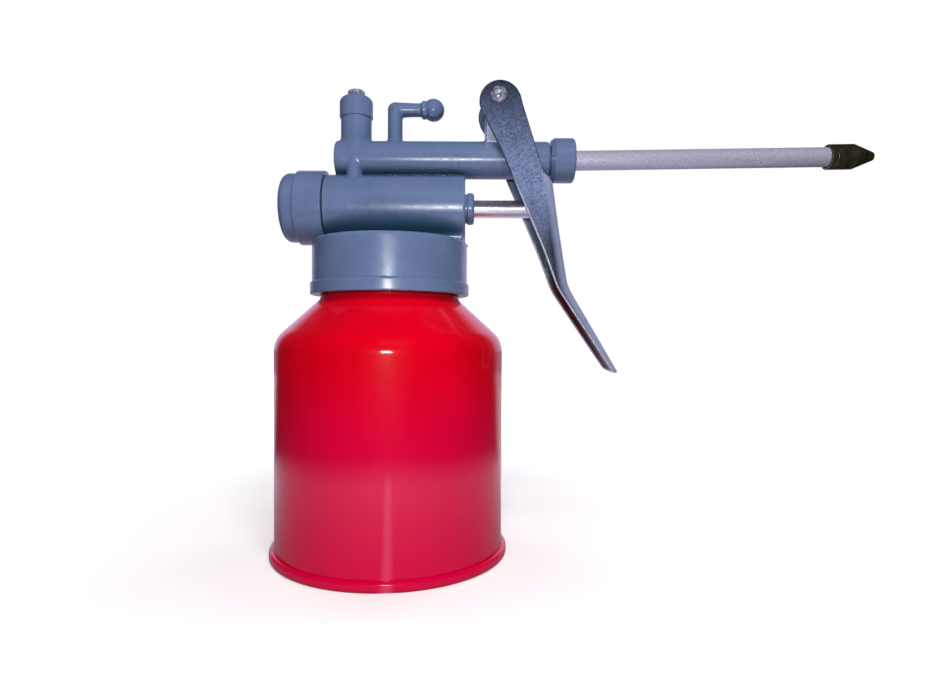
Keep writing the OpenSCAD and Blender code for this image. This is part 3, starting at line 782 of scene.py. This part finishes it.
def satin_aluminium():
    f = Finish("satin_aluminium", Metallic=0.4)
    grain = f.noise(0.5, 4, 0.8)
    cloud = f.noise(6, 3)
    colour = f.mix(f.ramp(grain, 0.35, 0.65), (0.42, 0.40, 0.54), (0.74, 0.72, 0.90))
    f.feed("Base Color", f.mix(f.ramp(cloud, 0.4, 0.7, 0, 0.4), colour, (0.52, 0.50, 0.66)))
    f.feed("Roughness", f.ramp(f.noise(1.0, 4, 0.7), 0.3, 0.7, 0.34, 0.52))
    f.bump(grain, 0.02)
    f.bump(f.noise(0.35, 2, stretch=(0.12, 1, 1)), 0.006)
    return f.made


def aged_brass():
    f = Finish("aged_brass", Metallic=0.8)
    patina = f.noise(2.8, 5, 0.65)
    colour = f.mix(f.ramp(patina, 0.35, 0.68), (0.030, 0.035, 0.022), (0.17, 0.14, 0.075))
    lightened = f.ramp(f.noise(0.8, 5, 0.7), 0.6, 0.72, 0, 0.4)
    f.feed("Base Color", f.mix(lightened, colour, (0.50, 0.40, 0.22)))
    f.feed("Roughness", f.ramp(patina, 0.3, 0.7, 0.5, 0.3))
    f.bump(f.noise(0.6, 3, 0.6), 0.012)
    return f.made


def seal_rubber():
    f = Finish("seal_rubber", Specular_IOR_Level=0.4)
    bloom = f.noise(2.5, 4, 0.6)
    f.feed("Base Color", f.mix(f.ramp(bloom, 0.4, 0.75), (0.014, 0.014, 0.016), (0.04, 0.04, 0.045)))
    f.feed("Roughness", f.ramp(bloom, 0.3, 0.7, 0.55, 0.8))
    f.bump(f.noise(0.5, 3), 0.015)
    return f.made


def clear_tube():
    f = Finish("clear_tube", Transmission_Weight=0.75, IOR=1.48)
    oil = f.noise(8, 4, 0.6)
    f.feed("Base Color", f.mix(f.ramp(oil, 0.4, 0.7), (0.86, 0.87, 0.82), (0.80, 0.76, 0.60)))
    f.feed("Roughness", f.ramp(f.noise(3, 3), 0.3, 0.7, 0.16, 0.34))
    f.bump(f.noise(4, 2), 0.01)
    return f.made


finishes = {make.__name__: make() for make in (
    red_enamel, slate_plastic, hammered_steel, bright_steel,
    satin_aluminium, aged_brass, seal_rubber, clear_tube)}


# ---------------------------------------------------------------- pieces
def dress(piece, body, slot, *nodes):
    """Puts a new piece on its body, in the place of its CAD nodes, with the finish of a record slot."""
    piece.data.materials.clear()
    piece.data.materials.append(finishes[slot])
    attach(piece, body)
    if nodes:
        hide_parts(*nodes)
    return piece


def neck_thread(angle, radius, height):
    """How far the rolled thread stands out of the neck."""
    if abs(radius - NECK_R) > 0.02 or not THREAD_FOOT - 2 < height < THREAD_HEAD + 2:
        return np.zeros_like(angle)
    turn = (height - THREAD_FOOT) / THREAD_PITCH - angle / (2 * math.pi)
    across = (turn - np.round(turn)) * THREAD_PITCH
    past = max(THREAD_FOOT - height, height - THREAD_HEAD, 0)
    return THREAD_DEPTH * 0.9 * np.exp(-(across / 0.55) ** 2) * max(0, 1 - past / 1.6)


def make_can():
    inner_corner = SHOULDER_Z - TIN * CORNER_DROP
    shell = turned("can_shell_detail", [
        (CAN_R, SEAM_SLOT_Z, 0), (CAN_R, SHOULDER_Z, 8), (NECK_BASE_R, CONE_CORNER_Z, 2),
        (NECK_BASE_R, NECK_STEP_Z, 0.3), (NECK_R, NECK_STEP_Z + 0.5, 0.2), (NECK_R, NECK_TOP - 0.6, 0.1),
        (NECK_R + 0.25, NECK_TOP - 0.35, 0.1), (NECK_R + 0.25, LIP_TOP, 0.4),
        (NECK_R - 0.75, LIP_TOP, 0.4), (NECK_R - 0.75, NECK_TOP - 0.35, 0.1),
        (NECK_R - TIN, NECK_TOP - 0.6, 0.1),
        (NECK_R - TIN, NECK_STEP_Z, 0.1), (NECK_BASE_R - TIN, NECK_STEP_Z - TIN, 0.1),
        (NECK_BASE_R - TIN, CONE_CORNER_Z - TIN * CORNER_DROP, 1), (CAN_R - TIN, inner_corner, 8 - TIN),
        (CAN_R - TIN, SEAM_SLOT_Z, 0)], around=192, steps=14, reach=0.25, relief=neck_thread)
    dress(shell, "can", "red_enamel", "can_shell")
    foot = turned("can_foot_detail", [
        (0, 1.9, 0), (24, 1.9, 0.8), (24.8, 1.5, 0.8), (25.6, 1.9, 0.8), (32.2, 1.9, 1), (33, 0, 0.9),
        (SEAM_R, 0, 1), (SEAM_R, SEAM_H, 1.1), (CAN_R, SEAM_H - 0.05, 0.1), (CAN_R, SEAM_SLOT_Z, 0),
        (CAN_R - TIN, SEAM_SLOT_Z, 0), (CAN_R - TIN, SEAM_H, 0.1), (33.6, SEAM_H, 0.5), (33.2, 2.5, 0.4),
        (0, 2.5, 0)], around=192, steps=8)
    dress(foot, "can", "red_enamel", "can_bottom")


def make_head():
    body = moulded("head_moulding", head_field, (-25.2, -25.2, 79), (54.2, 25.2, 144.2),
                   HEAD_CELL)
    dress(body, "head", "slate_plastic", "pump_body")
    cap_r, dome_r, cap_x = (cap_high.z - cap_low.z) / 2, 10.6, -28.2
    cap = turned("cylinder_cap_detail", [
        (0, cap_low.x, 0), (3.2, cap_low.x, 0.3), (3.7, cap_low.x + 0.25, 0.3), (4.2, cap_low.x, 0.3),
        (dome_r, cap_low.x, 2.4), (dome_r, cap_x, 0.25), (cap_r, cap_x, 0.55), (cap_r, CAP_RIM_X, 0.35),
        (SEAL_GROOVE_R, CAP_RIM_X, 0.1), (SEAL_GROOVE_R, CYL_LEFT - 1.4, 0), (7.95, CYL_LEFT - 1.4, 0),
        (7.95, CAP_SPIGOT_X, 0.3), (BORE_R, CAP_SPIGOT_X, 0.2), (BORE_R, CHAMBER_X, 0.3),
        (0, CHAMBER_X, 0)], along_x(CYL_Z))
    dress(cap, "head", "slate_plastic", "cylinder_cap")
    gland = turned("gland_nut_detail", [
        (GLAND_BORE_R, 19.4, 0.1), (SPIGOT_R, 19.4, 0.2), (SPIGOT_R, CYL_RIGHT, 0), (4.5, CYL_RIGHT, 0),
        (4.5, CYL_RIGHT + 0.6, 0.2), (4.9, CYL_RIGHT + 0.9, 0.3), (4.9, gland_high.x, 0.9),
        (GLAND_BORE_R, gland_high.x, 0.2)], along_x(CYL_Z))
    dress(gland, "head", "slate_plastic", "gland_nut")
    nut_r = nut_high.y
    nut = turned("spout_nut_detail", [
        (5.9, nut_low.x, 0.3), (nut_r, nut_low.x + 1.2, 0.5), (nut_r, nut_high.x, 0.8),
        (4.2, nut_high.x, 0.3), (4.0, nut_high.x - 0.25, 0.15), (NUT_CLEAR_R, nut_high.x - 0.25, 0.2),
        (NUT_CLEAR_R, nut_high.x - 1.8, 0), (NUT_BORE_R, nut_high.x - 1.8, 0),
        (NUT_BORE_R, nut_low.x, 0.2)], along_x(BARREL_Z))
    dress(nut, "head", "slate_plastic", "spout_nut")
    valve = turned("valve_cap_detail", [
        (SCREW_R, 138.4, 0), (4.05, 139.2, 0.1), (4.05, valve_low.z - 0.25, 0.1),
        (valve_high.y, valve_low.z - 0.25, 0.4),
        (valve_high.y, valve_high.z, 2.0), (2.9, valve_high.z, 0.2), (2.7, valve_high.z - 0.35, 0.1),
        (SCREW_R, valve_high.z - 0.35, 0)], along_z(TOWER_X), around=96)
    dress(valve, "head", "slate_plastic", "valve_cap")


def make_metalwork():
    screw = moulded("valve_screw_detail", screw_field, (TOWER_X - 3, -3, screw_low.z - 0.5),
                    (TOWER_X + 3, 3, screw_high.z + 0.5), SCREW_CELL)
    dress(screw, "head", "bright_steel", "valve_screw")
    shoulder_x, rod_r = 13.2, rod_high.y
    rod = turned("plunger_rod_detail", [
        (0, rod_low.x, 0), (1.7, rod_low.x, 0.3), (1.7, shoulder_x, 0), (rod_r, shoulder_x, 0.15),
        (rod_r, rod_high.x, rod_r - 0.15), (0, rod_high.x, 0)], along_x(CYL_Z), around=96, steps=10)
    dress(rod, "plunger", "bright_steel", "plunger_rod")
    tube = turned("spout_tube_detail", [
        (CHANNEL_R, 0.1, 0.1), (4.3, 0.1, 0.2), (4.3, 0.8, 0.2), (SPOUT_R, 0.8, 0.3),
        (SPOUT_R, TUBE_END, 0.2), (CHANNEL_R, TUBE_END, 0.2)], ALONG_SPOUT, around=96)
    dress(tube, "head", "satin_aluminium", "spout_tube")
    tip_piece = turned("nozzle_tip_detail", [
        (TIP_COUNTERBORE_R, TIP_START, 0.1), (TIP_R, TIP_START, 0.3), (TIP_R, TIP_START + 1.6, 0.1),
        (TIP_R - 0.12, TIP_START + 1.8, 0.1), (TIP_R, TIP_START + 2.0, 0.1),
        (TIP_R, SPOUT_END - TIP_CONE, 0.6), (1.25, SPOUT_END, 0.35), (0.5, SPOUT_END, 0.1),
        (0.5, SPOUT_END - 3, 0), (1.2, SPOUT_END - 3, 0), (1.2, TUBE_END, 0), (SPOUT_R, TUBE_END, 0),
        (SPOUT_R, TIP_START + 1.2, 0), (TIP_COUNTERBORE_R, TIP_START + 1.2, 0.1)], ALONG_SPOUT, around=96)
    dress(tip_piece, "head", "aged_brass", "nozzle_tip")
    reach = LEVER_HALF + 0.8
    lever = moulded("lever_detail", lever_field, (EAR_X - EAR_R - 1, -reach, WEB_TIP[1] - 1.5),
                    (WEB_TIP[0] + 1.5, reach, EAR_Z + EAR_R + 1), LEVER_CELL,
                    {"cut_edge": cut_edge, "web_face": web_face, "inner_face": inner_face})
    dress(lever, "lever", "hammered_steel", "lever")
    rivet = moulded("pivot_rivet_detail", rivet_field, (PIVOT_X - 3.4, rivet_low.y - 0.5, PIVOT_Z - 3.4),
                    (PIVOT_X + 3.4, rivet_high.y + 0.5, PIVOT_Z + 3.4), RIVET_CELL)
    dress(rivet, "lever", "bright_steel", "pivot_rivet")


def make_springs():
    """The two coil springs."""
    length = coil_high.x - coil_low.x
    spring = coil("return_spring_detail", (coil_low.x, 0, CYL_Z), (1, 0, 0), length=length,
                  **RETURN_SPRING)
    dress(spring, "head", "bright_steel", "return_spring")
    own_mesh(spring)
    length = outlet_high.z - outlet_low.z
    spring = coil("outlet_spring_detail", (TOWER_X, 0, outlet_low.z), (0, 0, 1), length=length,
                  **OUTLET_SPRING)
    dress(spring, "head", "bright_steel", "outlet_spring")
    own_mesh(spring)


def finish_cad_nodes():
    """The CAD pieces that stay get the same finishes as the new ones."""
    slots = {row["node"]: row["material_slot"] for row in frame["record"]["subparts"]}
    for name, node in frame["nodes"].items():
        node.data.materials.clear()
        node.data.materials.append(finishes[slots[name]])


# ---------------------------------------------------------------- stage
# how far a direction turns to the back, as its Y part, where reflections go from dark to bright
BRIGHT_BEHIND = (0.66, 0.80)


def stage_piece(name, points, faces, material):
    mesh = bpy.data.meshes.new(name)
    mesh.from_pydata(points, [], faces)
    mesh.materials.append(material)
    mesh.polygons.foreach_set("use_smooth", [True] * len(faces))
    piece = linked(name, mesh)
    return piece


def mapped(tree, value, low, high, start, stop):
    """Value mapped from low..high to start..stop, clamped; start and stop may be sockets."""
    made = tree.nodes.new("ShaderNodeMapRange")
    tree.links.new(value, made.inputs["Value"])
    made.inputs["From Min"].default_value = low
    made.inputs["From Max"].default_value = high
    for socket, end in ((made.inputs["To Min"], start), (made.inputs["To Max"], stop)):
        if isinstance(end, bpy.types.NodeSocket):
            tree.links.new(end, socket)
        else:
            socket.default_value = end
    return made.outputs["Result"]


def by_ray(tree, diffuse, glossy, seen):
    """One value for soft light, one for reflections and one for what the camera looks at directly."""
    path = tree.nodes.new("ShaderNodeLightPath").outputs
    unseen = mapped(tree, path["Is Glossy Ray"], 0, 1, diffuse, glossy)
    return mapped(tree, path["Is Camera Ray"], 0, 1, unseen, seen)


def maths(tree, operation, a, b):
    made = tree.nodes.new("ShaderNodeMath")
    made.operation = operation
    for socket, value in ((made.inputs[0], a), (made.inputs[1], b)):
        if isinstance(value, bpy.types.NodeSocket):
            tree.links.new(value, socket)
        else:
            socket.default_value = value
    return made.outputs[0]


def cool_glare(tree, socket):
    """White to the camera and in soft light, faintly mauve in reflections."""
    tint = tree.nodes.new("ShaderNodeMix")
    tint.data_type = "RGBA"
    tint.inputs[6].default_value = (1, 1, 1, 1)
    tint.inputs[7].default_value = (0.72, 0.66, 1.0, 1)
    tree.links.new(tree.nodes.new("ShaderNodeLightPath").outputs["Is Glossy Ray"], tint.inputs[0])
    tree.links.new(tint.outputs[2], socket)


def make_stage():
    """A pale floor that glows: white to the camera, and in what polished faces mirror a painted glow that is
    bright close to the object, straight behind it and in a narrow streak under the flash, and dark elsewhere."""
    pale = bpy.data.materials.new("stage_floor")
    pale.use_nodes = True
    tree = pale.node_tree
    shader = tree.nodes["Principled BSDF"]
    shader.inputs["Roughness"].default_value = 0.9
    shader.inputs["Specular IOR Level"].default_value = 0.0
    cool_glare(tree, shader.inputs["Emission Color"])
    place = tree.nodes.new("ShaderNodeTexCoord").outputs["Object"]
    length = tree.nodes.new("ShaderNodeVectorMath")
    length.operation = "LENGTH"
    tree.links.new(place, length.inputs[0])
    away = length.outputs["Value"]
    parts = tree.nodes.new("ShaderNodeSeparateXYZ")
    tree.links.new(place, parts.inputs[0])
    aside = maths(tree, "DIVIDE", parts.outputs["X"], away)
    behind = maths(tree, "DIVIDE", parts.outputs["Y"], away)
    close = maths(tree, "MULTIPLY", mapped(tree, away, 0.04, 0.14, 0.35, 1.0),
                  mapped(tree, away, 0.15, 0.21, 1.0, 0.0))
    bright = maths(tree, "MAXIMUM", close, mapped(tree, behind, *BRIGHT_BEHIND, 0.0, 1.0))
    off_streak = maths(tree, "ABSOLUTE", maths(tree, "SUBTRACT", aside, 0.09), 0.0)
    streak = maths(tree, "MULTIPLY", mapped(tree, off_streak, 0.015, 0.07, 2.4, 0.0),
                   mapped(tree, behind, -0.5, -0.9, 0.0, 1.0))
    streak = maths(tree, "MULTIPLY", streak, mapped(tree, away, 0.15, 0.18, 1.0, 0.0))
    paint = by_ray(tree, mapped(tree, away, 0.06, 0.26, 0.38, 0.03), mapped(tree, bright, 0, 1, 0.02, 0.7), 0.86)
    tree.links.new(paint, shader.inputs["Base Color"])
    mirrored = maths(tree, "ADD", maths(tree, "MULTIPLY", bright, 0.32), streak)
    glow = by_ray(tree, 0.0, mirrored, mapped(tree, away, 0.05, 0.4, 0.22, 1.0))
    tree.links.new(glow, shader.inputs["Emission Strength"])
    reach, around = 8.0, 64
    rim = [(reach * math.cos(2 * math.pi * k / around), reach * math.sin(2 * math.pi * k / around), 0)
           for k in range(around)]
    stage_piece("floor", rim, [list(range(around))], pale)


def soft_box(name, place, target, width, height, power, colour=(1, 1, 1)):
    light = bpy.data.lights.new(name, "AREA")
    light.shape = "RECTANGLE"
    light.size, light.size_y = width, height
    light.energy = power
    light.color = colour
    lamp = bpy.data.objects.new(name, light)
    lamp.location = place
    lamp.rotation_euler = (Vector(target) - Vector(place)).to_track_quat("-Z", "Y").to_euler()
    bpy.context.scene.collection.objects.link(lamp)
    return lamp


def make_lights():
    middle = (0.03, 0, 0.08)
    key = soft_box("key", (0.16, -0.64, 0.62), middle, 0.45, 0.45, 5.9, (1.0, 0.98, 0.97))
    key.visible_glossy = False
    soft_box("flash", (0.015, -0.24, 0.085), middle, 0.035, 0.02, 0.24)
    for side, name in ((-0.60, "left_rim"), (0.66, "right_rim")):
        rim = soft_box(name, (side, 0.62, 0.42), middle, 0.5, 0.7, 2.8, (0.90, 0.84, 1.0))
        rim.visible_glossy = False
    world = bpy.data.worlds.new("studio")
    bpy.context.scene.world = world
    world.use_nodes = True
    tree = world.node_tree
    back = tree.nodes["Background"]
    cool_glare(tree, back.inputs["Color"])
    parts = tree.nodes.new("ShaderNodeSeparateXYZ")
    tree.links.new(tree.nodes.new("ShaderNodeTexCoord").outputs["Generated"], parts.inputs[0])
    dim = mapped(tree, parts.outputs["Y"], 0.2, 0.85, 0.06, 0.4)
    glare = mapped(tree, parts.outputs["Y"], *BRIGHT_BEHIND, 0.01, 1.15)
    tree.links.new(by_ray(tree, dim, glare, 1.0), back.inputs["Strength"])


def make_camera():
    """The view of the reference picture: nearly level, in front of the can and a little to its right."""
    camera = bpy.data.cameras.new("camera")
    camera.sensor_width = 36
    camera.lens = 24.69
    camera.clip_start = 0.01
    holder = bpy.data.objects.new("camera", camera)
    bpy.context.scene.collection.objects.link(holder)
    down, roll = math.radians(1.06), math.radians(0.27)
    place = Matrix.Translation(Vector((23.93, -200.72, 66.49)) * MM)
    holder.matrix_world = place @ Matrix.Rotation(math.pi / 2 - down, 4, "X") @ Matrix.Rotation(roll, 4, "Z")
    bpy.context.scene.camera = holder


make_can()
make_head()
make_metalwork()
make_springs()
finish_cad_nodes()
make_stage()
make_lights()
make_camera()
bpy.context.scene.view_settings.view_transform = "Standard"
